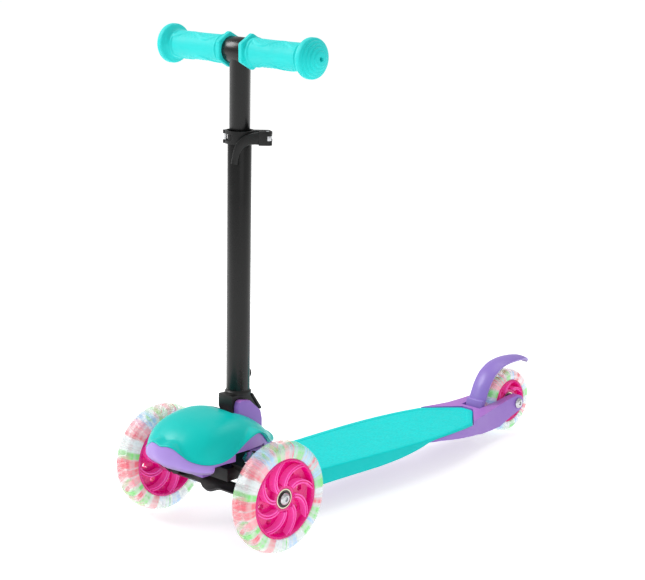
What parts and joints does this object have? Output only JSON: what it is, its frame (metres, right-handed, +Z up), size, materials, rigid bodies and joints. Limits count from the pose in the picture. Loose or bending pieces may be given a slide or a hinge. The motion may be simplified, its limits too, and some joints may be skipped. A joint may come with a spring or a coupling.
{
  "type": "kick scooter",
  "caption": "Child's three-wheeled kick scooter: lean-to-steer front truck, light-up wheels, folding stem, height-adjustable T-bar with rubber grips, textured deck and a rear foot-brake fender.",
  "frame": {"origin": "middle of the footprint's bounding box, on the ground", "axes": "+Z up, the scooter faces -Y, +X is the rider's left"},
  "size_m": [0.2352, 0.613, 0.5349],
  "materials": {
    "purple_plastic": "satin moulded plastic, fine texture",
    "fender_plastic": "satin moulded plastic",
    "turquoise_plastic": "smooth semi-gloss moulded plastic",
    "deck_plastic": "fine anti-slip texture, brighter smooth lip",
    "grip_rubber": "soft matt rubber",
    "black_plastic": "satin glass-filled nylon",
    "black_paint": "semi-gloss powder coat",
    "hub_plastic": "glossy magenta moulded plastic",
    "clear_tyre": "clear polyurethane lit from inside",
    "steel": "zinc plated",
    "circuit": "white ring with small lamps"
  },
  "bodies": {
    "chassis": {"chassis_frame": "purple_plastic", "deck_cover": "deck_plastic", "nose_cover": "turquoise_plastic", "nose_bumper": "purple_plastic", "stem_bracket": "purple_plastic", "truck_beam": "black_plastic", "king_bolt_left": "steel", "king_bolt_right": "steel", "fender_pin": "steel", "fender_spring": "steel", "deck_screw_1": "steel", "deck_screw_2": "steel", "deck_screw_3": "steel", "deck_screw_4": "steel", "rear_axle_bolt": "steel", "rear_axle_nut": "steel", "rear_magnet_spacer": "black_plastic", "fold_pin": "steel"},
    "knuckle_left": {"knuckle_left": "black_plastic", "tie_pin_left": "steel", "steer_spring_left": "steel", "front_left_axle_bolt": "steel", "front_left_magnet_spacer": "black_plastic"},
    "knuckle_right": {"knuckle_right": "black_plastic", "tie_pin_right": "steel", "steer_spring_right": "steel", "front_right_axle_bolt": "steel", "front_right_magnet_spacer": "black_plastic"},
    "tie_rod": {"tie_rod": "black_plastic"},
    "front_left_wheel": {"front_left_hub": "hub_plastic", "front_left_tyre": "clear_tyre", "front_left_led_ring": "circuit", "front_left_bearing_right": "steel", "front_left_bearing_left": "steel"},
    "front_right_wheel": {"front_right_hub": "hub_plastic", "front_right_tyre": "clear_tyre", "front_right_led_ring": "circuit", "front_right_bearing_right": "steel", "front_right_bearing_left": "steel"},
    "rear_wheel": {"rear_hub": "hub_plastic", "rear_tyre": "clear_tyre", "rear_led_ring": "circuit", "rear_bearing_right": "steel", "rear_bearing_left": "steel"},
    "brake_fender": {"brake_fender": "fender_plastic"},
    "stem": {"fold_block": "black_plastic", "lower_tube": "black_paint", "clamp_front": "black_plastic", "clamp_rear": "black_plastic", "clamp_hinge_pin": "steel", "clamp_bolt": "steel", "clamp_nut": "steel", "lever_pin": "steel"},
    "fold_latch": {"fold_latch": "black_plastic"},
    "release_button": {"release_button": "black_plastic"},
    "handlebar": {"bar_tube": "black_paint", "grip_left": "grip_rubber", "grip_right": "grip_rubber"},
    "clamp_lever": {"clamp_lever": "black_plastic"}
  },
  "joints": [
    {"name": "steer_left", "type": "hinge", "parent": "chassis", "child": "knuckle_left", "pos_m": [0.06, -0.2175, 0.079], "axis": [0, -0.7071, 0.7071], "range_deg": [-15, 15], "stiffness_Nm_per_rad": 10},
    {"name": "steer_right", "type": "hinge", "parent": "chassis", "child": "knuckle_right", "pos_m": [-0.06, -0.2175, 0.079], "axis": [0, -0.7071, 0.7071], "range_deg": [-15, 15]},
    {"name": "tie_rod_swing", "type": "hinge", "parent": "knuckle_left", "child": "tie_rod", "pos_m": [0.06, -0.23589, 0.06062], "axis": [0, -0.7071, 0.7071], "range_deg": [-15, 15]},
    {"name": "front_left_spin", "type": "hinge", "parent": "knuckle_left", "child": "front_left_wheel", "pos_m": [0.0925, -0.2255, 0.06], "axis": [1, 0, 0], "continuous": true},
    {"name": "front_right_spin", "type": "hinge", "parent": "knuckle_right", "child": "front_right_wheel", "pos_m": [-0.0925, -0.2255, 0.06], "axis": [1, 0, 0], "continuous": true},
    {"name": "rear_spin", "type": "hinge", "parent": "chassis", "child": "rear_wheel", "pos_m": [0, 0.2615, 0.04], "axis": [1, 0, 0], "continuous": true},
    {"name": "fender_press", "type": "hinge", "parent": "chassis", "child": "brake_fender", "pos_m": [0, 0.205, 0.034], "axis": [-1, 0, 0], "range_deg": [0, 8.5], "stiffness_Nm_per_rad": 2, "springref_deg": -11.46},
    {"name": "stem_fold", "type": "hinge", "parent": "chassis", "child": "stem", "pos_m": [0, -0.196, 0.124], "axis": [-1, 0, 0], "range_deg": [0, 80]},
    {"name": "latch_lift", "type": "hinge", "parent": "stem", "child": "fold_latch", "pos_m": [0, -0.18396, 0.14496], "axis": [1, 0, 0], "range_deg": [0, 8], "stiffness_Nm_per_rad": 0.3, "springref_deg": -17.19},
    {"name": "button_press", "type": "slide", "parent": "stem", "child": "release_button", "axis": [0, -0.9998, 0.0208], "range_m": [0, 0.004], "stiffness_N_per_m": 400, "springref_m": -0.002},
    {"name": "bar_height", "type": "slide", "parent": "stem", "child": "handlebar", "axis": [0, 0.0208, 0.9998], "range_m": [0, 0.12]},
    {"name": "lever_open", "type": "hinge", "parent": "stem", "child": "clamp_lever", "pos_m": [0.02858, -0.17689, 0.42427], "axis": [0, 0.0208, 0.9998], "range_deg": [0, 150]}
  ],
  "couplings": [
    {"joint": "steer_right", "follows": "steer_left", "ratio": 1},
    {"joint": "tie_rod_swing", "follows": "steer_left", "ratio": -1}
  ]
}
